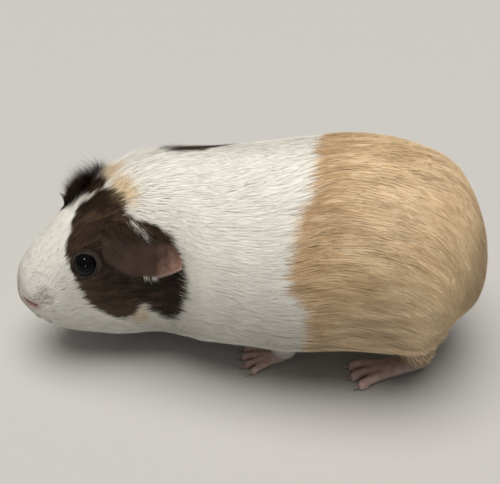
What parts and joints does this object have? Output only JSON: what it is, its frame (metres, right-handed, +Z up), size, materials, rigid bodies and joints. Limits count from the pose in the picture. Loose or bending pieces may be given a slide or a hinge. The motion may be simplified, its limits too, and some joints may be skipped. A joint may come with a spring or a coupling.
{
  "type": "guinea pig",
  "caption": "Life-size standing guinea pig, head turned slightly to its left, short smooth coat, drooping ears and bare feet.",
  "frame": {"origin": "on the floor, below the middle of the animal's bounding box", "axes": "nose toward -X, the animal's left side toward -Y, +Z up"},
  "size_m": [0.2222, 0.1064, 0.111],
  "materials": {
    "white_coat": "short smooth white fur",
    "gold_coat": "short smooth golden-buff fur",
    "ear_skin": "nearly bare dark brown skin, pink toward the back edge",
    "foot_skin": "bare pink skin",
    "claw": "pale horn",
    "eye": "wet, almost black"
  },
  "bodies": {
    "root": {"head": "white_coat", "neck": "white_coat", "chest": "white_coat", "barrel": "gold_coat", "rump": "gold_coat", "eye_left": "eye", "eye_right": "eye", "ear_left": "ear_skin", "ear_right": "ear_skin", "foreleg_left": "white_coat", "foreleg_right": "white_coat", "hindleg_left": "gold_coat", "hindleg_right": "gold_coat", "forefoot_left": "foot_skin", "forefoot_right": "foot_skin", "hindfoot_left": "foot_skin", "hindfoot_right": "foot_skin", "claw_fore_left_1": "claw", "claw_fore_left_2": "claw", "claw_fore_left_3": "claw", "claw_fore_left_4": "claw", "claw_fore_right_1": "claw", "claw_fore_right_2": "claw", "claw_fore_right_3": "claw", "claw_fore_right_4": "claw", "claw_hind_left_1": "claw", "claw_hind_left_2": "claw", "claw_hind_left_3": "claw", "claw_hind_right_1": "claw", "claw_hind_right_2": "claw", "claw_hind_right_3": "claw"}
  },
  "joints": []
}
